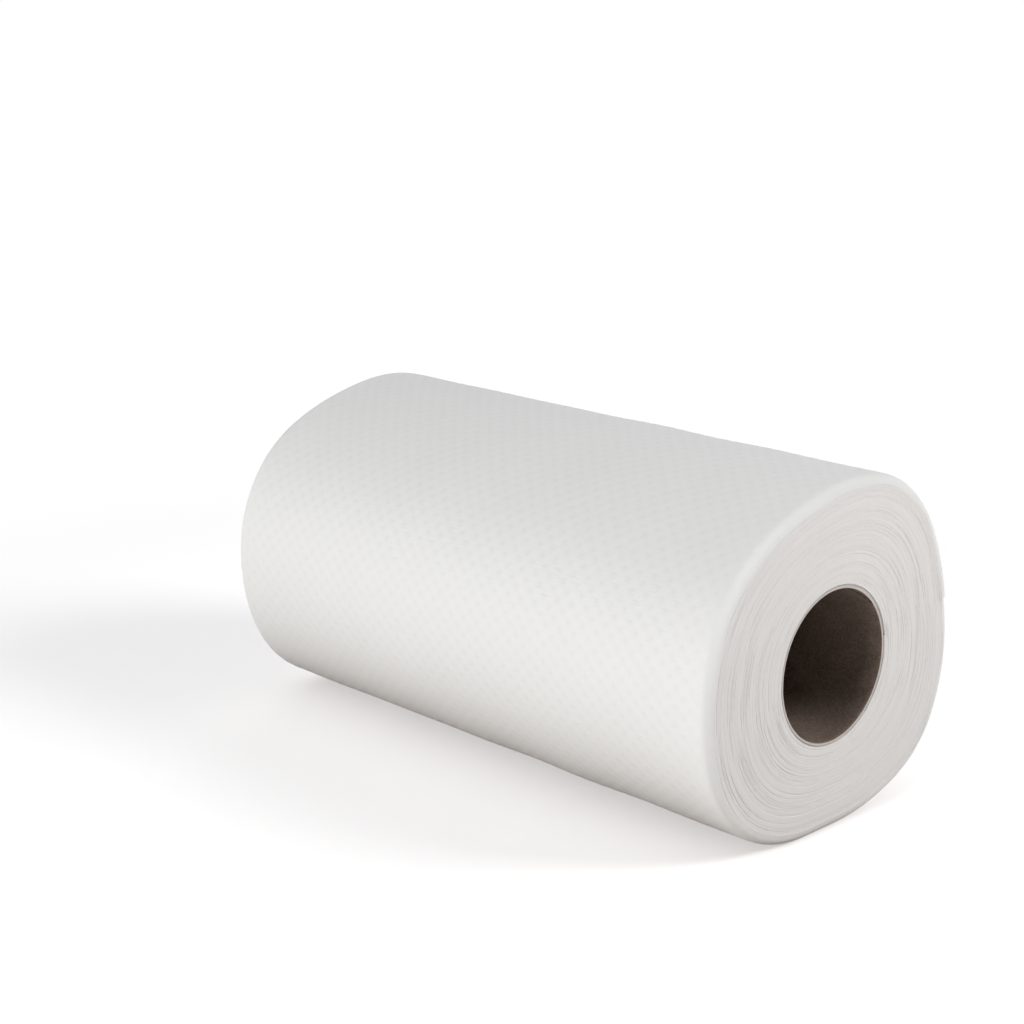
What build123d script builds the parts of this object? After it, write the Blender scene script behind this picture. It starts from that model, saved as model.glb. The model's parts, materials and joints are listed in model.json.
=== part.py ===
# Paper towel roll lying on its side: an embossed web wound on a paperboard core.
# Millimetres. The roll's axis runs along X, the floor is z = 0, and the origin is
# on the floor under the middle of the roll. Angles are in degrees about the core's
# axis, from straight up towards +Y.

import math
import os

from build123d import *

# The web and the core
web_width = 203.0        # length of the roll, an 8 inch web
core_bore = 44.0         # inside diameter of the core
core_wall = 0.8          # spiral wound paperboard
core_setback = 0.5       # each end of the core lies this far inside the web's end
glue_gap = 0.05          # between the core and the first turn

# The outer turn. A soft roll sags: it has a flat on the floor, and above it the
# outline swells and dips around its mean radius.
mean_radius = 53.6
sag_height = 4.9         # how far the axis has sunk towards the floor
flat_reach = 34.0        # angle from straight down where the free outline begins
lean_height = 1.1        # the outline's swell towards the back
oval_height = 2.1        # wider than it is high
lobe_height = 1.2        # three shallow lobes
square_height = 1.5      # four rounded corners
rim_radius = 3.0         # soft rim where the saw cut the roll to length
rim_bands = 2            # straight bands that round each rim

# The loose end of the web, which lies on the turn below it
tail_angle = 80.0        # where the outer turn ends, at the back of the roll
tail_step = 0.5          # height of the step at its edge

# The turns, which show on both ends as one spiral groove. A real roll of this size
# has about eighty turns, and the groove draws them coarser.
drawn_turns = 13
groove_width = 0.5
groove_depth = 0.8
groove_sides = 36        # short straight sides in each turn, which keep its facets few

outline_arc = 15.0       # largest angle that one arc of the outline spans

axis_height = mean_radius - sag_height
outline_waves = [        # waves in one turn, height, direction of the first crest
    (1, lean_height, 68.0),
    (2, oval_height, 80.0),
    (3, lobe_height, 11.0),
    (4, square_height, 36.0),
]
core_outer = core_bore / 2 + core_wall
seat_radius = core_outer + glue_gap


def spaced(first, last, count):
    """Angles from first to last in so many even steps."""
    return [first + (last - first) * i / count for i in range(count + 1)]


def arc_angles(first, last):
    """Angles from first to last: the ends and the middle of each arc."""
    return spaced(first, last, 2 * math.ceil(abs(last - first) / outline_arc))


def outline_radius(angle, lap):
    """Radius of the roll. The lap is how far the web has thinned from its tail."""
    free = mean_radius - lap
    for waves, height, crest in outline_waves:
        free += height * math.cos(math.radians(waves * (angle - crest)))
    upright = -math.cos(math.radians(angle))
    if upright > 0:
        return min(free, axis_height / upright)
    return free


def point_at(angle, radius):
    """Place across the roll, measured from the core's axis."""
    turn = math.radians(angle)
    return (radius * math.sin(turn), radius * math.cos(turn))


def skin_point(angle, inset):
    """Point on the outer turn. Its angle falls by one turn from the tail's edge."""
    lap = tail_step * (tail_angle - angle) / 360
    return point_at(angle, outline_radius(angle, lap) - inset)


def flat_end(angle, inset):
    """End of the flat, from which one arc rises to touch the outline at the angle."""
    foot, height = skin_point(angle, inset)
    step = 0.01
    ahead = skin_point(angle + step, inset)
    behind = skin_point(angle - step, inset)
    slope = math.atan2(ahead[1] - behind[1], ahead[0] - behind[0])
    rise = height + axis_height - inset
    return (foot + rise * math.tan(slope / 2), inset - axis_height)


def groove_point(angle, aside):
    """Point beside the groove's line. Its angle falls by one turn for each turn inwards."""
    wound = 1 - (tail_angle - angle) / 360 / drawn_turns
    radius = seat_radius + (outline_radius(angle, 0.0) - seat_radius) * wound
    return point_at(angle, radius + aside)


def arcs_through(points):
    """Chain of arcs through the points, two steps at a time."""
    for start, middle, end in zip(points[:-2:2], points[1:-1:2], points[2::2]):
        ThreePointArc(start, middle, end)


# Round from the tail's edge to the flat, and on from the flat to the turn below
front_angles = arc_angles(tail_angle, flat_reach - 180)
back_angles = arc_angles(-flat_reach - 180, tail_angle - 360)

# The axis stands aside, so that the roll's box is centred on the origin
across = [skin_point(a, 0.0)[0] for a in spaced(tail_angle, tail_angle - 360, 720)]
axis_aside = -(min(across) + max(across)) / 2
axis_plane = Plane(origin=(0, axis_aside, axis_height), x_dir=(0, 1, 0), z_dir=(1, 0, 0))


def roll_section(along, inset):
    """The roll's outline at one place along it, inset from the skin."""
    front = [skin_point(a, inset) for a in front_angles]
    back = [skin_point(a, inset) for a in back_angles]
    front_foot = flat_end(front_angles[-1], inset)
    back_foot = flat_end(back_angles[0], inset)
    with BuildSketch(axis_plane.offset(along)) as section:
        with BuildLine():
            arcs_through(front)
            TangentArc(front_foot, front[-1], tangent=(-1, 0))
            Line(front_foot, back_foot)
            TangentArc(back_foot, back[0], tangent=(1, 0))
            arcs_through(back)
            Line(back[-1], front[0])
        make_face()
    return section.sketch


# The wound web, one solid: half of it, then its mirror image
rim_start = web_width / 2 - rim_radius
cut_turns = drawn_turns - 2
groove_angles = spaced(
    tail_angle - 360, tail_angle - 360 * (cut_turns + 1), groove_sides * cut_turns
)
groove_outer = [groove_point(a, groove_width / 2) for a in groove_angles]
groove_inner = [groove_point(a, -groove_width / 2) for a in groove_angles]

with BuildPart() as paper_roll:
    add(roll_section(0.0, 0.0))
    extrude(amount=rim_start, dir=(1, 0, 0))
    for band in range(rim_bands):
        sections = []
        for edge in (band, band + 1):
            turn = math.pi / 2 * edge / rim_bands
            inset = rim_radius * (1 - math.cos(turn))
            sections.append(roll_section(rim_start + rim_radius * math.sin(turn), inset))
        loft(sections, ruled=True)
    with BuildSketch(axis_plane):
        Circle(seat_radius)
    extrude(amount=web_width, mode=Mode.SUBTRACT)
    with BuildSketch(axis_plane.offset(web_width / 2 - groove_depth)):
        with BuildLine():
            Polyline(*groove_outer, *reversed(groove_inner), close=True)
        make_face()
    extrude(amount=2 * groove_depth, mode=Mode.SUBTRACT)
    mirror(about=Plane.YZ)

# The core
core_length = web_width - 2 * core_setback

with BuildPart() as core_tube:
    with BuildSketch(axis_plane):
        Circle(core_outer)
        Circle(core_bore / 2, mode=Mode.SUBTRACT)
    extrude(amount=core_length / 2, both=True)

os.makedirs("parts", exist_ok=True)
paper_roll.part.label = "paper_roll"
core_tube.part.label = "core_tube"
export_step(paper_roll.part, "parts/paper_roll.step")
export_step(core_tube.part, "parts/core_tube.step")
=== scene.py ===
import json
import math

import bmesh
import bpy
import numpy as np
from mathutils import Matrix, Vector


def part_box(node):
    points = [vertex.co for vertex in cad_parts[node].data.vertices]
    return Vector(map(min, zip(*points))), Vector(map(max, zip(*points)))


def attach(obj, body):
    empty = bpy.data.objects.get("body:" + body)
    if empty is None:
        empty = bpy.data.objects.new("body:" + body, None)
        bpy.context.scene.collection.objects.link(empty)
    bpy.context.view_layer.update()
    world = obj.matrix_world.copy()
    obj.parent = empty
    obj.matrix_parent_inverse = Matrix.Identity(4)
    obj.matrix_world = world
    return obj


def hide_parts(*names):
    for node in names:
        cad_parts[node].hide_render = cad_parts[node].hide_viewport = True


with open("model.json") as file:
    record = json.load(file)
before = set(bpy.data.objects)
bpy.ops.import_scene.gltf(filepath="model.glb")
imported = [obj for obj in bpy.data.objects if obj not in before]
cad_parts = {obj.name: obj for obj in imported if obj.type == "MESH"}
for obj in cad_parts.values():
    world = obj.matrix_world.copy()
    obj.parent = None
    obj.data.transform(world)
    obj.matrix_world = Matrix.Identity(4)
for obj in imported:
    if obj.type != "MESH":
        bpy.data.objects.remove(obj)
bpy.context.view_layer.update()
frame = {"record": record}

mm = 0.001                       # lengths below are in millimetres until a mesh is made
mixA, mixB, mixOut = 6, 7, 2     # a colour mix's sockets: its two colours and its result

# The axis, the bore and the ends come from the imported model
boreMount = next(m for m in frame["record"]["mounts"] if m["name"] == "core_bore")
axisPlace = Vector(boreMount["pos_m"])
boreRadius = boreMount["dims"]["r_mm"]
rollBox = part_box("paper_roll")
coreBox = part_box("core_tube")
rollHalf = rollBox[1].x / mm     # from the middle of the roll to its end
coreHalf = coreBox[1].x / mm
coreOuter = (coreBox[1].z - coreBox[0].z) / 2 / mm
axisHeight = axisPlace.z / mm
print("frame: roll", round(rollHalf * 2, 2), "mm long, bore", boreRadius * 2, "mm")


def linear(hexColor):
    channels = [int(hexColor[i:i + 2], 16) / 255 for i in (1, 3, 5)]
    return [c / 12.92 if c <= 0.04045 else ((c + 0.055) / 1.055) ** 2.4 for c in channels] + [1.0]


def addNode(tree, kind, settings=None, links=None):
    node = tree.nodes.new(kind)
    for name, value in (settings or {}).items():
        if isinstance(name, int) or name in node.inputs:
            node.inputs[name].default_value = value
        else:
            setattr(node, name, value)
    for name, source in (links or {}).items():
        tree.links.new(source, node.inputs[name])
    return node


def newMaterial(name):
    material = bpy.data.materials.new(name)
    material.use_nodes = True
    material.node_tree.nodes.clear()
    return material, material.node_tree


def wander(values, seed, waves, amplitude):
    # a smooth random line: a few sines of unrelated pitch, the same on each run
    draw = np.random.default_rng(seed)
    total = np.zeros_like(values)
    for pitch in waves:
        total += np.sin(2 * np.pi * (values / pitch + draw.random())) * draw.uniform(0.6, 1.0)
    return total * amplitude / len(waves)


# The outline of the soft roll, as in the solid: angles run from straight up towards +Y,
# and fall from the tail's edge over the top, down the front and under the roll
outline = {
    "meanRadius": 53.6,
    "waves": [(1, 1.1, 68.0), (2, 2.1, 80.0), (3, 1.2, 11.0), (4, 1.5, 36.0)],
    "flatReach": 34.0,           # from straight down to where the free outline begins
    "tailAngle": 80.0,
    "tailStep": 0.5,
    "rimRadius": 3.0,
    "seatRadius": coreOuter + 0.05,
    "sampleStep": 0.25,          # degrees between points of the drawn outline
    "probe": 0.6,                # half the length over which its direction is taken
}


def outlineRadius(angle, lap):
    free = outline["meanRadius"] - lap
    for waves, height, crest in outline["waves"]:
        free = free + height * np.cos(np.radians(waves * (angle - crest)))
    upright = np.maximum(-np.cos(np.radians(angle)), 1e-6)
    return np.minimum(free, axisHeight / upright)


def skinPoints(angles):
    lap = outline["tailStep"] * (outline["tailAngle"] - angles) / 360
    radius = outlineRadius(angles, lap)
    return np.stack([radius * np.sin(np.radians(angles)), radius * np.cos(np.radians(angles))], 1)


def footArc(angle, steps=60):
    # the arc that touches both the floor and the outline, from the outline down to its foot
    aside = 0.01                 # degrees
    around = skinPoints(np.array([angle - aside, angle, angle + aside]))
    slope = math.atan2(*(around[2] - around[0])[::-1])
    top, height = around[1]
    rise = height + axisHeight
    foot = top + rise * math.tan(slope / 2)
    radius = ((top - foot) ** 2 + rise ** 2) / (2 * rise)
    turn = math.asin((top - foot) / radius)
    turns = np.linspace(turn, 0, steps)
    return np.stack([foot + radius * np.sin(turns), radius * (1 - np.cos(turns)) - axisHeight], 1)


def turnPath(extra):
    # one turn of the web from the tail's edge, and on under the tail for the extra angle
    reach, start, step = outline["flatReach"], outline["tailAngle"], outline["sampleStep"]
    front = skinPoints(np.arange(start, reach - 180, -step))
    back = skinPoints(np.arange(-reach - 180, start - 360 - extra, -step))
    under = np.concatenate([footArc(reach - 180.0), footArc(-reach - 180.0)[::-1]])
    path = np.concatenate([front, under, back])
    gaps = np.hypot(*np.diff(path, axis=0).T)
    keep = np.concatenate([[True], gaps > 1e-6])
    return path[keep], np.concatenate([[0], np.cumsum(gaps[keep[1:]])])


def alongPath(path, length, places):
    # points and outward normals at places along the path
    def pointsAt(wanted):
        return np.stack([np.interp(wanted, length, path[:, i]) for i in (0, 1)], 1)

    way = pointsAt(places + outline["probe"]) - pointsAt(places - outline["probe"])
    way /= np.hypot(*way.T)[:, None]
    return pointsAt(places), np.stack([way[:, 1], -way[:, 0]], 1)


def smoothPiece(name, mesh, crease):
    # an object in the scene, shaded smooth but for edges sharper than the crease's angle
    mesh.polygons.foreach_set("use_smooth", [True] * len(mesh.polygons))
    mesh.set_sharp_from_angle(angle=math.radians(crease))
    piece = bpy.data.objects.new(name, mesh)
    bpy.context.scene.collection.objects.link(piece)
    return piece


def meshPiece(name, vertices, faces, crease):
    mesh = bpy.data.meshes.new(name)
    mesh.from_pydata(vertices, [], faces)
    mesh.validate()
    return smoothPiece(name, mesh, crease)


def storeShare(mesh, name, values):
    # a number for each vertex, for the material to read
    attribute = mesh.attributes.new(name, "FLOAT", "POINT")
    attribute.data.foreach_set("value", values.ravel().astype(np.float32))


def storePlace(mesh, name, place):
    # a UV map from a place in metres for each vertex
    corners = np.zeros(len(mesh.loops), np.int32)
    mesh.loops.foreach_get("vertex_index", corners)
    layer = mesh.uv_layers.new(name=name)
    layer.data.foreach_set("uv", place[corners].astype(np.float32).ravel())


def worldPoints(along, across):
    # from millimetres about the axis to metres in the model's frame
    return np.stack([
        along * mm,
        across[..., 0] * mm + axisPlace.y,
        np.maximum(across[..., 1] * mm + axisPlace.z, 0.0),
    ], -1)


# Two-ply creped tissue, bleached and embossed: matt, and a little fuzzy. What is marked
# reads slightly darker: the pressed plies' own tone, and painted shade in the dots, in the
# perforation's cuts, on the rims and in the grooves of the ends. The grain is the crepe's
# wavelength along the roll and round it.
# Real fibres are about 0.03 mm wide and would not show; clumps of them are drawn instead.
fibre = {
    "clump": 1.1,
    "mottle": 0.30,              # how far the clumps shade the tissue
    "height": 0.5,               # how high they stand beside the crepe
}


def creped(name, color, shade, grain, bumpHeight, uvName=None):
    material, tree = newMaterial(name)
    solid = addNode(tree, "ShaderNodeTexCoord")
    place = solid.outputs["Object"]
    if uvName:
        place = addNode(tree, "ShaderNodeUVMap", {"uv_map": uvName}).outputs["UV"]
    stretched = addNode(tree, "ShaderNodeMapping", {"Scale": [1 / (g * mm) for g in grain]},
                        {"Vector": place})
    crepe = addNode(tree, "ShaderNodeTexNoise", {"Scale": 1.0, "Detail": 3.0, "Roughness": 0.6},
                    {"Vector": stretched.outputs["Vector"]})
    clumps = addNode(tree, "ShaderNodeTexNoise", {
        "Scale": 1 / (fibre["clump"] * mm), "Detail": 4.0, "Roughness": 0.7,
    }, {"Vector": solid.outputs["Object"]})
    pressed = addNode(tree, "ShaderNodeAttribute", {"attribute_name": "pressed"})
    mottle = addNode(tree, "ShaderNodeMapRange", {"To Min": 0.0, "To Max": fibre["mottle"]},
                     {"Value": clumps.outputs["Fac"]})
    # the share read here is partly tone and partly painted shade; the clumps' mottle is tone
    dark = addNode(tree, "ShaderNodeMath", {"operation": "ADD", "use_clamp": True},
                   {0: pressed.outputs["Fac"], 1: mottle.outputs["Result"]})
    tone = addNode(tree, "ShaderNodeMix", {
        "data_type": "RGBA", mixA: linear(color), mixB: linear(shade),
    }, {"Factor": dark.outputs["Value"]})
    heights = addNode(tree, "ShaderNodeMath", {"operation": "MULTIPLY_ADD", 1: fibre["height"]},
                      {0: clumps.outputs["Fac"], 2: crepe.outputs["Fac"]})
    bump = addNode(tree, "ShaderNodeBump", {"Strength": 1.0, "Distance": bumpHeight * mm},
                   {"Height": heights.outputs["Value"]})
    surface = addNode(tree, "ShaderNodeBsdfPrincipled", {
        "Roughness": 0.95, "IOR": 1.47, "Specular IOR Level": 0.2,
        "Sheen Weight": 0.12, "Sheen Roughness": 0.6,
    }, {"Base Color": tone.outputs[mixOut], "Normal": bump.outputs["Normal"]})
    addNode(tree, "ShaderNodeOutputMaterial", {}, {"Surface": surface.outputs["BSDF"]})
    return material


# The body of the roll: the outer turn with its embossing, its loose tail and its soft rims
web = {
    "cell": 0.9,                 # mean side of one mesh cell
    "dotPitch": 6,               # cells between dots in a row; every second row stands between
    "crowding": (0, 0.78, 2.22, 3, 3.78, 5.22),      # the cells' lines stand closer at the dots
    "dotSpread": 0.58,           # mm, how wide a dot is
    "dotDepth": 0.15,
    "dotScatter": 0.12,          # the dots are not all pressed alike
    "pillow": 0.05,              # how far the web puffs up between the dots
    "wave": 0.16,                # the roll's slow unevenness, and its pitches across and along
    "wavePitches": ((83, 71), (47, 130), (118, 52), (61, 39)),
    "waveEnd": 30,               # it fades out over this length at both ends of the turn
    "sheetLength": 279.0,        # 11 inch sheets, from one perforation to the next
    "cutDepth": 0.22,
    # painted shadow in the perforation's cuts
    "cutShade": 1.2,
    "cutCells": 3,               # cells cut, then one left whole
    "tailReach": 16.2,           # how far back the loose tail has come off
    "tailLift": 1.1,
    "tailShares": (0.55, 0.45),  # of the lift: even along the edge, and wandering
    "tailPitches": (57, 91, 33),
    "tailSeed": 11,
    "tailHold": 30.0,            # near the ends it lies down again, over this length
    "tailClose": 0.75,           # from this share of its reach on it closes on the turn below
    "sheetThickness": 0.38,
    "spareAngle": 4,             # degrees of outline drawn past the tail's reach
    "rimSteps": 5,
    "rimShade": 0.8,             # darker rims: partly sawn tone, partly painted shade
    "rimDraw": (0.2, 0.22),      # the saw drew the rims in: evenly, and wandering
    "rimPitches": (71, 43, 29),
    "rimSeed": 23,
    "crushed": 7.5,              # the saw's pressure flattened the dots over this length
    "crushedShare": 0.12,
    "recess": 0.9,               # the ends' own pieces lie in this
    "recessTaper": 0.999,        # its wall leans in a little
    "darkest": 1.5,              # the most that marks on one spot add up to
    "bodySeed": 4,
}


def crowded(cells):
    # the cells' lines in cell lengths, each repeat of the pattern crowded round its dots
    repeat, line = np.divmod(cells, web["dotPitch"])
    return repeat * web["dotPitch"] + np.array(web["crowding"])[line]


def embossing(columns, rows, draw):
    # height of the web and how hard it is pressed, by place in cell lengths; the pressed share
    # also carries painted shade in the dots
    pitch = web["dotPitch"]
    column, row = np.meshgrid(columns, rows)
    height = np.zeros(column.shape)
    pressed = np.zeros(column.shape)
    for shift in (0, pitch / 2):
        across = (column - shift + pitch / 2) % pitch - pitch / 2
        along = (row - shift + pitch / 2) % pitch - pitch / 2
        reach = np.hypot(across, along) * web["cell"]
        dot = np.exp(-(reach / web["dotSpread"]) ** 2 / 2)
        height -= web["dotDepth"] * dot
        # each dot reads darker: partly the pressed plies' tone, partly painted shade in its dimple
        pressed += dot
    swell = np.cos(2 * np.pi * column / pitch) * np.cos(2 * np.pi * row / pitch)
    height += web["pillow"] * (1 - swell) / 2
    height *= 1 + web["dotScatter"] * draw.standard_normal(height.shape).clip(-2, 2) * pressed
    return height, pressed


def bodyRows():
    # rim, skin, rim: places along the roll, how far the rims dip, and the places in cells
    rimRadius = outline["rimRadius"]
    flatHalf = rollHalf - rimRadius
    rowCells = round(flatHalf * 2 / web["cell"] / web["dotPitch"]) * web["dotPitch"]
    skinRows = (crowded(np.arange(rowCells + 1)) / rowCells * 2 - 1) * flatHalf
    turn = np.linspace(0, math.pi / 2, web["rimSteps"] + 1)[1:]
    rimOut = flatHalf + rimRadius * np.sin(turn)
    rimIn = rimRadius * (1 - np.cos(turn))
    along = np.concatenate([-rimOut[::-1], skinRows, rimOut])
    inset = np.concatenate([rimIn[::-1], np.zeros(len(skinRows)), rimIn])
    return along, inset, (along / flatHalf + 1) / 2 * rowCells


def slowWaves(places, along, turnLength, draw):
    # the roll's unevenness as it was wound and handled
    total = np.zeros((len(along), len(places)))
    for acrossPitch, alongPitch in web["wavePitches"]:
        total += np.sin(2 * np.pi * (places[None, :] / acrossPitch + draw.random())) * np.sin(
            2 * np.pi * (along[:, None] / alongPitch + draw.random()))
    fromStart = np.clip(places / web["waveEnd"], 0, 1)
    fromEnd = np.clip((turnLength - places) / web["waveEnd"], 0, 1)
    return total * (web["wave"] / 2) * (fromStart * fromEnd)[None, :]


def facing(corners, sign):
    # a face at one end of the roll, turned to look outwards, without repeated corners
    corners = list(dict.fromkeys(corners))
    return tuple(corners[::-1] if sign < 0 else corners)


def closeBody(ring, index, faces, tailCells):
    # At each end: the tail's own end, then the wall and the floor of the recess. The core's
    # seat joins the two floors.
    rows, columns = index.shape
    tailTop = 2 * tailCells + 1          # the last column above the tail, where it leaves the roll
    bodyRing = [0] + list(range(tailTop, columns))
    bodyPoints = ring[0, bodyRing]
    angles = np.arctan2(bodyPoints[:, 0], bodyPoints[:, 1])
    seat = np.stack([np.sin(angles), np.cos(angles)], 1)[1:] * outline["seatRadius"]
    count = len(bodyRing)
    extra, seatRings = [], []
    for row, sign in ((0, -1), (rows - 1, 1)):
        for step in range(tailCells):
            corners = (step, step + 1, tailTop - step - 1, tailTop - step)
            faces.append(facing([int(index[row, c]) for c in corners], sign))
        rim = [int(index[row, c]) for c in bodyRing]
        wallStart = index.size + len(extra)
        floorPlace = sign * (rollHalf - web["recess"])
        extra += worldPoints(np.full(count, floorPlace), bodyPoints * web["recessTaper"]).tolist()
        wall = list(range(wallStart, wallStart + count))
        seatStart = index.size + len(extra)
        extra += worldPoints(np.full(len(seat), floorPlace), seat).tolist()
        seatRing = [seatStart] + list(range(seatStart, seatStart + len(seat)))
        for k in range(count):
            n = (k + 1) % count
            faces.append(facing([rim[k], rim[n], wall[n], wall[k]], sign))
            faces.append(facing([wall[k], wall[n], seatRing[n], seatRing[k]], sign))
        seatRings.append(seatRing)
    left, right = seatRings
    for k in range(count):
        n = (k + 1) % count
        corners = facing([left[k], right[k], right[n], left[n]], 1)
        if len(corners) > 2:
            faces.append(corners)
    return extra, bodyPoints


def makeBody():
    draw = np.random.default_rng(web["bodySeed"])
    tailReach = web["tailReach"]
    tailAngle = math.degrees(tailReach / outline["meanRadius"])
    path, length = turnPath(extra=tailAngle + web["spareAngle"])
    turnLength = turnPath(0)[1][-1]
    turnCells = round(turnLength / web["cell"] / web["dotPitch"]) * web["dotPitch"]
    tailCells = round(tailReach / web["cell"])
    cell = turnLength / turnCells
    flapCells = crowded(np.arange(tailCells + 1))
    topCells = crowded(np.arange(turnCells + 1))
    flapPlaces = flapCells * cell
    topPlaces = topCells * cell
    along, inset, rowCell = bodyRows()
    rimRadius = outline["rimRadius"]
    flatHalf = rollHalf - rimRadius

    # Columns round the roll: under the tail to its edge, the whole turn, and on under the tail
    topAt, topNormal = alongPath(path, length, topPlaces)
    lowAt, lowNormal = alongPath(path, length, turnLength + flapPlaces)
    topHeight, topPressed = embossing(topCells, rowCell, draw)
    lowHeight, lowPressed = embossing(turnCells + flapCells, rowCell, draw)
    topHeight += slowWaves(topPlaces, along, turnLength, draw)

    # Perforation: short cuts across the web, one sheet from the tail's edge, each darkened
    # with a painted shadow
    cutLine = np.arange(len(along)) % (web["cutCells"] + 1) < web["cutCells"]
    cutColumn = round(web["sheetLength"] / cell)
    topHeight[cutLine, cutColumn] -= web["cutDepth"]
    topPressed[cutLine, cutColumn] += web["cutShade"]

    # The loose tail lifts towards its edge, more in places
    even, wandering = web["tailShares"]
    back = flapPlaces / tailReach
    fromRim = np.clip((flatHalf - np.abs(along)) / web["tailHold"], 0, 1)
    tailEdge = even + wander(along, web["tailSeed"], web["tailPitches"], wandering)
    edgeLift = web["tailLift"] * tailEdge * fromRim ** 1.5
    lift = edgeLift[:, None] * (1 - back[None, :]).clip(0, 1) ** 2
    topHeight[:, :tailCells + 1] += lift
    gap = outline["tailStep"] + lift - web["sheetThickness"]
    blend = 1 - np.clip((back - web["tailClose"]) / (1 - web["tailClose"]), 0, 1) ** 2
    underHeight = np.maximum(gap, 0) * blend[None, :] + lowHeight * blend[None, :]
    underHeight[:, tailCells] = lowHeight[:, tailCells]

    # The saw crushed the embossing flatter near both rims, and left a fringe on them. The rims
    # also read darker: partly the sawn fringe's own tone, partly painted shade that tones down
    # the light they catch
    uncrushed = np.clip((rollHalf - np.abs(along)) / web["crushed"], 0, 1)
    reliefShare = web["crushedShare"] + (1 - web["crushedShare"]) * uncrushed
    fringeAndPaintedShade = np.clip(web["rimShade"] * inset / rimRadius, 0, 1)
    topPressed = topPressed * reliefShare[:, None] + fringeAndPaintedShade[:, None]
    lowPressed = lowPressed * reliefShare[:, None] + fringeAndPaintedShade[:, None]

    def surface(at, normal, height):
        out = height * reliefShare[:, None] - inset[:, None]
        return at[None, :, :] + normal[None, :, :] * out[:, :, None]

    under = surface(lowAt, lowNormal, underHeight)[:, ::-1]
    top = surface(topAt, topNormal, topHeight)
    low = surface(lowAt, lowNormal, lowHeight)[:, 1:-1]
    ring = np.concatenate([under, top, low], 1)
    pressed = np.concatenate([np.zeros_like(lowPressed), topPressed, lowPressed[:, 1:-1]], 1)
    webPlace = np.concatenate([flapPlaces[::-1], topPlaces, turnLength + flapPlaces[1:-1]])
    endShare = np.clip((np.abs(along) - flatHalf) / rimRadius, 0, 1)
    evenDraw, wanderDraw = web["rimDraw"]
    drawnIn = evenDraw + wander(webPlace, web["rimSeed"], web["rimPitches"], wanderDraw)
    alongGrid = along[:, None] - (np.sign(along) * endShare)[:, None] * drawnIn[None, :]
    vertices = worldPoints(alongGrid, ring).reshape(-1, 3)

    index = np.arange(ring.shape[0] * ring.shape[1]).reshape(ring.shape[:2])
    beside = np.roll(index, -1, 1)
    sides = np.stack([index[:-1], beside[:-1], beside[1:], index[1:]], -1).reshape(-1, 4)
    faces = [tuple(f) for f in sides.tolist()]
    extra, bodyPoints = closeBody(ring, index, faces, tailCells)
    vertices = np.concatenate([vertices, np.array(extra)])

    body = meshPiece("towel_roll", vertices.tolist(), faces, crease=40.0)
    shares = np.concatenate([pressed.ravel().clip(0, web["darkest"]), np.zeros(len(extra))])
    storeShare(body.data, "pressed", shares)
    # UV in metres of web: across the web, then along it from the tail
    webGrid = np.stack(np.broadcast_arrays(along[:, None], webPlace[None, :]), -1)
    inside = np.array([[v[0] / mm, v[2] / mm] for v in extra])
    storePlace(body.data, "webPlace", np.concatenate([webGrid.reshape(-1, 2), inside]) * mm)
    return body, bodyPoints


tissue = creped("creped two-ply tissue", "#F2F2EF", "#EEEDEA", grain=(4.0, 0.8, 1.0),
                bumpHeight=0.10, uvName="webPlace")
body, endOutline = makeBody()
body.data.materials.append(tissue)
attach(body, "root")
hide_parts("paper_roll")
print("towel_roll:", len(body.data.polygons), "faces")


# The cut ends of the turns, one spiral. The real web has about eighty turns; sixty are
# drawn, so that the outer one is as thick as the step at the tail.
endTurns = {
    "turns": 60,
    "columns": 360,
    "lines": (0.0, 0.28, 0.72),  # groove, then the two edges of the paper's crest
    "rimGap": 0.06,              # beside the outer rim, and beside the core's seat
    "seatGap": 0.05,
    "outerDepth": 0.16,          # how far inside the roll's end the outer turn lies
    "innerDepth": 0.10,          # how much further inside the others lie
    "fadeTurns": 2,
    "groove": (0.02, 0.14),      # shallowest and deepest
    "groovePitches": (1.7, 5.3, 2.9),    # turns over which its depth changes
    "grooveWander": 6.0,
    "roundPitches": (120, 72),   # degrees over which its depth changes
    "roundWander": 2.5,
    "stagger": 0.10,             # how far neighbouring turns stand out or back
    "staggerPitches": (1.63, 2.77, 4.9, 11.3),       # turns
    "wobble": 0.07,              # the embossed turns don't lie quite even
    "wobblePitches": (4.7, 6.1, 9.4),
    "wobbleFade": 3,
    "turnLength": 331.0,         # rough length of one turn, for slow changes along the web
    "shades": (0.8, 0.2, 0.1),   # painted shade of grooves, sunk turns; even tone
    "thickness": 0.75,
}


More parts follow.
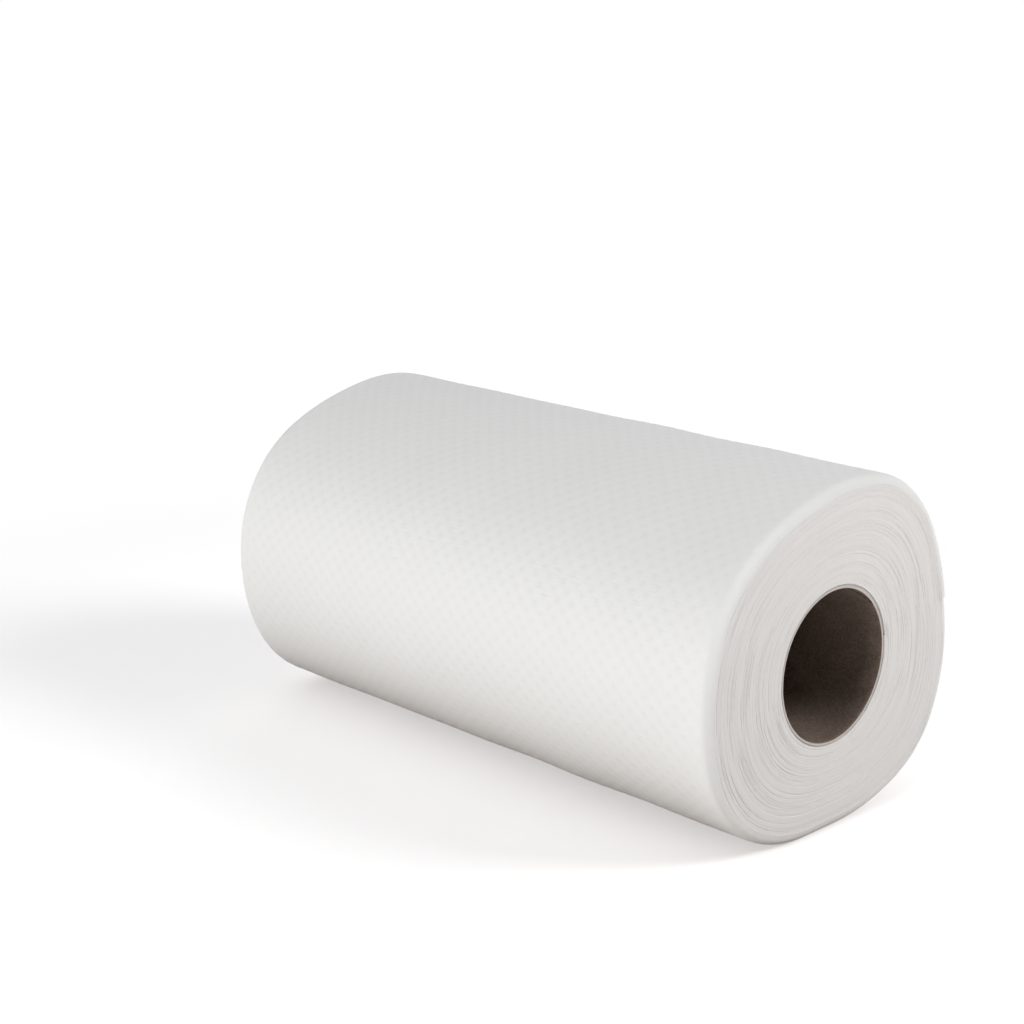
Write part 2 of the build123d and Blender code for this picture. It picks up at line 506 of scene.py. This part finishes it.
def makeEnd(name, sign, seed):
    turns, columns, lines = endTurns["turns"], endTurns["columns"], endTurns["lines"]
    lineCount = len(lines) * (turns - 1) + 1
    column, line = np.meshgrid(np.arange(columns), np.arange(lineCount), indexing="ij")
    turnAt = line // len(lines) + np.array(lines)[line % len(lines)] + column / columns
    angle = outline["tailAngle"] - 360.0 * column / columns

    # Outer line, just inside the rim, found along each direction
    polar = np.degrees(np.arctan2(endOutline[:, 0], endOutline[:, 1]))
    radius = np.hypot(endOutline[:, 0], endOutline[:, 1])
    order = np.argsort(polar)
    wanted = (angle + 180) % 360 - 180
    rim = np.interp(wanted, polar[order], radius[order], period=360) - endTurns["rimGap"]
    outer = rim + outline["tailStep"] * column / columns
    inner = outline["seatRadius"] + endTurns["seatGap"]
    spread = inner + (outer - inner) * (1 - turnAt / turns)
    wobble = wander(turnAt * endTurns["turnLength"], seed, endTurns["wobblePitches"],
                    endTurns["wobble"])
    fromEdge = np.minimum(turnAt, turns - turnAt) / endTurns["wobbleFade"]
    spread = spread + wobble * np.minimum(1, fromEdge)

    shallow, deep = endTurns["groove"]
    swing = wander(turnAt, seed + 1, endTurns["groovePitches"], endTurns["grooveWander"])
    swing = swing + wander(angle, seed + 2, endTurns["roundPitches"], endTurns["roundWander"])
    depth = shallow + (deep - shallow) * (0.5 + 0.5 * np.sin(swing)) ** 3
    groove = np.where(line % len(lines) == 0, depth, 0.0)
    stagger = wander(turnAt, seed + 3, endTurns["staggerPitches"], endTurns["stagger"])
    fade = np.minimum(1, turnAt / endTurns["fadeTurns"])
    sunk = fade * (groove + endTurns["innerDepth"] + stagger)
    turn = np.radians(angle)
    across = np.stack([spread * np.sin(turn), spread * np.cos(turn)], -1)
    place = sign * (rollHalf - endTurns["outerDepth"] - sunk)
    vertices = worldPoints(place, across).reshape(-1, 3)

    # Faces between the lines, and at the seam from each turn to the next
    index = np.arange(columns * lineCount).reshape(columns, lineCount)
    main = np.stack([index[:-1, :-1], index[:-1, 1:], index[1:, 1:], index[1:, :-1]], -1)
    shift = len(lines)
    seam = np.stack([
        index[-1, :-1 - shift], index[-1, 1:-shift], index[0, shift + 1:], index[0, shift:-1],
    ], -1)
    faces = np.concatenate([main.reshape(-1, 4), seam.reshape(-1, 4)])
    if sign < 0:
        faces = faces[:, ::-1]
    shape = bmesh.new()
    shadeLayer = shape.verts.layers.float.new("pressed")
    points = [shape.verts.new(v) for v in vertices.tolist()]
    for face in faces.tolist():
        shape.faces.new([points[i] for i in face])
    # Painted shade: the grooves and the turns set further back read darker in colour; the whole end
    # also takes a little even tone
    byGroove, byStagger, always = endTurns["shades"]
    dark = groove / deep * byGroove + stagger / endTurns["stagger"] * byStagger + always
    for vertex, value in zip(points, dark.ravel().clip(0, 1).tolist()):
        vertex[shadeLayer] = value

    # Close it behind: a wall from each open edge straight back, then one flat face
    openEdges = [tuple(e.verts) for e in shape.edges if e.is_boundary]
    backX = sign * (rollHalf - endTurns["thickness"]) * mm
    behind = {}
    for vertex in [v for edge in openEdges for v in edge]:
        if vertex not in behind:
            behind[vertex] = shape.verts.new((backX, vertex.co.y, vertex.co.z), vertex)
    for a, b in openEdges:
        shape.faces.new([b, behind[b], behind[a], a])
    backEdges = [shape.edges.get((behind[a], behind[b])) for a, b in openEdges]
    bmesh.ops.triangle_fill(shape, edges=backEdges, use_beauty=False)
    bmesh.ops.recalc_face_normals(shape, faces=shape.faces)
    mesh = bpy.data.meshes.new(name)
    shape.to_mesh(mesh)
    shape.free()
    return smoothPiece(name, mesh, crease=70.0)


# The same tissue seen edge on, where the log saw cut it: more matt, a little warmer
cutTissue = creped("saw-cut tissue edges", "#EEEBE8", "#E7E3E0", grain=(1.6, 1.6, 1.6),
                   bumpHeight=0.06)
for name, sign, seed in (("right_end_turns", 1, 31), ("left_end_turns", -1, 57)):
    end = makeEnd(name, sign, seed)
    end.data.materials.append(cutTissue)
    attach(end, "root")
    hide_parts("paper_roll")
    print(name + ":", len(end.data.polygons), "faces")


# The core: plies of unbleached board wound in a spiral
core = {
    "plyWidth": 75.0,            # the board's strips, wound edge to edge
    "seamWidth": 0.6,
    "seamDepth": 0.18,
    "columns": 216,
    "rows": 168,
    "edgeRound": 0.15,
}
seamLead = core["plyWidth"] / math.sqrt(1 - (core["plyWidth"] / (2 * math.pi * boreRadius)) ** 2)


def makeCore():
    columns, rows, edgeRound = core["columns"], core["rows"], core["edgeRound"]
    turn = np.arange(columns) / columns * 2 * math.pi
    inside = np.linspace(-(coreHalf - edgeRound), coreHalf - edgeRound, rows + 1)
    # One closed line round the wall: the bore, the right end, the outside, the left end
    alongLine = np.concatenate([
        inside, [coreHalf, coreHalf], inside[::-1][[0, -1]], [-coreHalf, -coreHalf],
    ])
    radiusLine = np.concatenate([
        np.full(rows + 1, boreRadius), [boreRadius + edgeRound, coreOuter - edgeRound],
        [coreOuter, coreOuter], [coreOuter - edgeRound, boreRadius + edgeRound],
    ])
    isBore = np.arange(len(alongLine)) <= rows
    phase = (alongLine[:, None] / seamLead - turn[None, :] / (2 * math.pi)) % 1.0
    fromSeam = np.minimum(phase, 1 - phase) * core["plyWidth"]
    seam = np.exp(-(fromSeam / core["seamWidth"]) ** 2) * isBore[:, None]
    radius = radiusLine[:, None] + seam * core["seamDepth"]
    across = np.stack([radius * np.sin(turn), radius * np.cos(turn)], -1)
    along = np.broadcast_to(alongLine[:, None], radius.shape)
    vertices = worldPoints(along, across).reshape(-1, 3)
    index = np.arange(radius.size).reshape(radius.shape)
    below, right = np.roll(index, -1, 0), np.roll(index, -1, 1)
    faces = np.stack([index, right, np.roll(below, -1, 1), below], -1).reshape(-1, 4)
    piece = meshPiece("core_board_tube", vertices.tolist(), faces.tolist(), crease=60.0)
    storeShare(piece.data, "seam", seam)
    storeShare(piece.data, "sawn", np.broadcast_to(~isBore[:, None], radius.shape))
    # UV in metres of board: along the tube, then round its bore
    boardGrid = np.stack(np.broadcast_arrays(along, turn[None, :] * boreRadius), -1)
    storePlace(piece.data, "boardPlace", boardGrid.reshape(-1, 2) * mm)
    return piece


# Recycled paperboard, wound and glued: grey-brown, matt, with short dark and pale fibres,
# drawn as clumps as the tissue's are. Tissue dust from the saw makes its cut ends pale.
board = {
    "dark": "#61564F",
    "pale": "#978576",
    "toneRange": (0.45, 0.95),   # of the noise, from the dark to the pale tone
    "seam": "#423831",
    "dust": "#CFC7BF",
    "clump": 0.7,
    "cloud": 7,                  # larger, fainter patches
    "cloudShare": 0.35,
    "bumpHeight": 0.05,
}


def windingBoard():
    material, tree = newMaterial("spiral-wound recycled board")
    solid = addNode(tree, "ShaderNodeTexCoord")
    clumps = addNode(tree, "ShaderNodeTexNoise", {
        "Scale": 1 / (board["clump"] * mm), "Detail": 4.0, "Roughness": 0.7,
    }, {"Vector": solid.outputs["Object"]})
    cloud = addNode(tree, "ShaderNodeTexNoise", {"Scale": 1 / (board["cloud"] * mm), "Detail": 2.0},
                    {"Vector": solid.outputs["Object"]})
    mixed = addNode(tree, "ShaderNodeMath", {
        "operation": "MULTIPLY_ADD", 1: board["cloudShare"],
    }, {0: cloud.outputs["Fac"], 2: clumps.outputs["Fac"]})
    tone = addNode(tree, "ShaderNodeValToRGB", {}, {"Fac": mixed.outputs["Value"]})
    for stop, place, color in zip(tone.color_ramp.elements, board["toneRange"], ("dark", "pale")):
        stop.position = place
        stop.color = linear(board[color])
    seam = addNode(tree, "ShaderNodeAttribute", {"attribute_name": "seam"})
    lined = addNode(tree, "ShaderNodeMix", {"data_type": "RGBA", mixB: linear(board["seam"])},
                    {"Factor": seam.outputs["Fac"], mixA: tone.outputs["Color"]})
    sawn = addNode(tree, "ShaderNodeAttribute", {"attribute_name": "sawn"})
    dusted = addNode(tree, "ShaderNodeMix", {"data_type": "RGBA", mixB: linear(board["dust"])},
                     {"Factor": sawn.outputs["Fac"], mixA: lined.outputs[mixOut]})
    bump = addNode(tree, "ShaderNodeBump", {
        "Strength": 1.0, "Distance": board["bumpHeight"] * mm,
    }, {"Height": clumps.outputs["Fac"]})
    surface = addNode(tree, "ShaderNodeBsdfPrincipled", {
        "Roughness": 0.9, "IOR": 1.47, "Specular IOR Level": 0.25,
    }, {"Base Color": dusted.outputs[mixOut], "Normal": bump.outputs["Normal"]})
    addNode(tree, "ShaderNodeOutputMaterial", {}, {"Surface": surface.outputs["BSDF"]})
    return material


tube = makeCore()
tube.data.materials.append(windingBoard())
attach(tube, "root")
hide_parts("core_tube")
print("core_board_tube:", len(tube.data.polygons), "faces")


# A plain pale floor, its lengths in metres. It adds a little of its own light for the camera
# alone, more away from the roll, so that it reads as white paper and still keeps the roll's
# shadow. Light that it sends back over a short way, close under the roll, comes out dark and
# warm: painted contact shade that darkens the roll's underside. Past the roll's ends it stays
# mostly pale.
ground = {
    "side": 16.0,
    "below": 0.0002,             # just under the part, so that the two faces don't flicker
    "paint": "#F6F4F2",
    # painted shade: the dark warm colour of light sent back close under the roll
    "contact": "#6B4D33",
    # paler with the way that its light goes, and with the place along the roll
    "paleByWay": {"From Min": 0.01, "From Max": 0.10},
    "palePastEnd": {"From Min": 0.098, "From Max": 0.108, "To Max": 0.8},
    # by how far a place lies from the roll's middle
    "glow": {"From Min": 0.3, "From Max": 1.0, "To Min": 0.40, "To Max": 0.76},
}
half = ground["side"] / 2
floorMesh = bpy.data.meshes.new("floor")
floorMesh.from_pydata([(-half, -half, 0), (half, -half, 0), (half, half, 0), (-half, half, 0)],
                      [], [(0, 1, 2, 3)])
floor = bpy.data.objects.new("floor", floorMesh)
floor.location.z = -ground["below"]
bpy.context.scene.collection.objects.link(floor)


def studioFloor():
    material, tree = newMaterial("matt white studio floor")
    path = addNode(tree, "ShaderNodeLightPath")
    spot = addNode(tree, "ShaderNodeNewGeometry")
    shown = addNode(tree, "ShaderNodeMath", {"operation": "MAXIMUM"},
                    {0: path.outputs["Is Camera Ray"], 1: path.outputs["Is Glossy Ray"]})
    fromMiddle = addNode(tree, "ShaderNodeVectorMath", {"operation": "LENGTH"},
                         {0: spot.outputs["Position"]})
    glowHere = addNode(tree, "ShaderNodeMapRange", ground["glow"],
                       {"Value": fromMiddle.outputs["Value"]})
    glowShown = addNode(tree, "ShaderNodeMath", {"operation": "MULTIPLY"},
                        {0: shown.outputs["Value"], 1: glowHere.outputs["Result"]})
    glow = addNode(tree, "ShaderNodeEmission", {}, {"Strength": glowShown.outputs["Value"]})
    farWay = addNode(tree, "ShaderNodeMapRange", ground["paleByWay"],
                     {"Value": path.outputs["Ray Length"]})
    axes = addNode(tree, "ShaderNodeSeparateXYZ", {}, {"Vector": spot.outputs["Position"]})
    alongRoll = addNode(tree, "ShaderNodeMath", {"operation": "ABSOLUTE"}, {0: axes.outputs["X"]})
    pastEnd = addNode(tree, "ShaderNodeMapRange", ground["palePastEnd"],
                      {"Value": alongRoll.outputs["Value"]})
    pale = addNode(tree, "ShaderNodeMath", {"operation": "MAXIMUM"},
                   {0: farWay.outputs["Result"], 1: pastEnd.outputs["Result"]})
    # painted contact shade: dark and warm where the floor's light goes back a short way under the
    # roll
    paint = addNode(tree, "ShaderNodeMix", {
        "data_type": "RGBA", mixA: linear(ground["contact"]), mixB: linear(ground["paint"]),
    }, {"Factor": pale.outputs["Value"]})
    matt = addNode(tree, "ShaderNodeBsdfDiffuse", {}, {"Color": paint.outputs[mixOut]})
    both = addNode(tree, "ShaderNodeAddShader", {},
                   {0: matt.outputs["BSDF"], 1: glow.outputs["Emission"]})
    addNode(tree, "ShaderNodeOutputMaterial", {}, {"Surface": both.outputs["Shader"]})
    return material


floorMesh.materials.append(studioFloor())

# Plain soft studio light: an even pale room that is darker on one side, and three soft lamps
room = {
    "darkSide": (0.72, -0.69, 0.0),
    # by how squarely a direction faces the dark side, from the room's fill to its dimmest
    "fill": {"From Min": -0.2, "From Max": 0.9, "To Min": 0.38, "To Max": 0.12},
    "background": 1.0,
    "tint": (0.975, 0.985, 1.04, 1.0),   # the fill is a little cool, the background plain white
    "white": (1.0, 1.0, 1.0, 1.0),
}
world = bpy.data.worlds.new("white studio")
bpy.context.scene.world = world
world.use_nodes = True
tree = world.node_tree
tree.nodes.clear()
path = addNode(tree, "ShaderNodeLightPath")
shown = addNode(tree, "ShaderNodeMath", {"operation": "MAXIMUM"},
                {0: path.outputs["Is Camera Ray"], 1: path.outputs["Is Glossy Ray"]})
toward = addNode(tree, "ShaderNodeTexCoord")
darkness = addNode(tree, "ShaderNodeVectorMath", {
    "operation": "DOT_PRODUCT", 1: room["darkSide"],
}, {0: toward.outputs["Generated"]})
fill = addNode(tree, "ShaderNodeMapRange", room["fill"], {"Value": darkness.outputs["Value"]})
strength = addNode(tree, "ShaderNodeMapRange", {"To Max": room["background"]},
                   {"Value": shown.outputs["Value"], "To Min": fill.outputs["Result"]})
skyColor = addNode(tree, "ShaderNodeMix", {
    "data_type": "RGBA", mixA: room["tint"], mixB: room["white"],
}, {"Factor": shown.outputs["Value"]})
sky = addNode(tree, "ShaderNodeBackground", {},
              {"Strength": strength.outputs["Result"], "Color": skyColor.outputs[mixOut]})
addNode(tree, "ShaderNodeOutputWorld", {}, {"Surface": sky.outputs["Background"]})

lamps = {                        # metres and watts
    "front lamp": {"place": (0.02, -1.5, 0.38), "target": (0, 0, 0.05), "size": 0.6, "power": 13.0},
    "end lamp": {"place": (0.95, 0.60, 0.80), "target": (0.1, 0, 0.05), "size": 0.5, "power": 8.9},
    "back lamp": {"place": (-1.0, 1.2, 0.3), "target": (0, 0, 0.05), "size": 0.8, "power": 5.5},
}
for name, lamp in lamps.items():
    light = bpy.data.lights.new(name, "AREA")
    light.shape = "SQUARE"
    light.size = lamp["size"]
    light.energy = lamp["power"]
    lampObject = bpy.data.objects.new(name, light)
    lampObject.location = lamp["place"]
    lampObject.rotation_mode = "QUATERNION"
    way = Vector(lamp["target"]) - Vector(lamp["place"])
    lampObject.rotation_quaternion = way.to_track_quat("-Z", "Y")
    bpy.context.scene.collection.objects.link(lampObject)

# The camera stands where the photograph's did
camera = {
    "place": (0.42507, -0.43416, 0.23553),
    "yaw": 136.213,              # degrees, from +X towards +Y
    "dip": 14.966,
    "lens": 71.840,
    "sensor": 36.0,
    "clip": (0.01, 20),
}
lens = bpy.data.cameras.new("camera")
lens.lens = camera["lens"]
lens.sensor_width = camera["sensor"]
lens.clip_start, lens.clip_end = camera["clip"]
cameraObject = bpy.data.objects.new("camera", lens)
bpy.context.scene.collection.objects.link(cameraObject)
yaw, dip = math.radians(camera["yaw"]), math.radians(camera["dip"])
ahead = Vector((math.cos(yaw) * math.cos(dip), math.sin(yaw) * math.cos(dip), -math.sin(dip)))
cameraObject.location = camera["place"]
cameraObject.rotation_mode = "QUATERNION"
cameraObject.rotation_quaternion = ahead.to_track_quat("-Z", "Y")
bpy.context.scene.camera = cameraObject
bpy.context.scene.view_settings.view_transform = "Standard"
print("stage, lamps and camera ready")
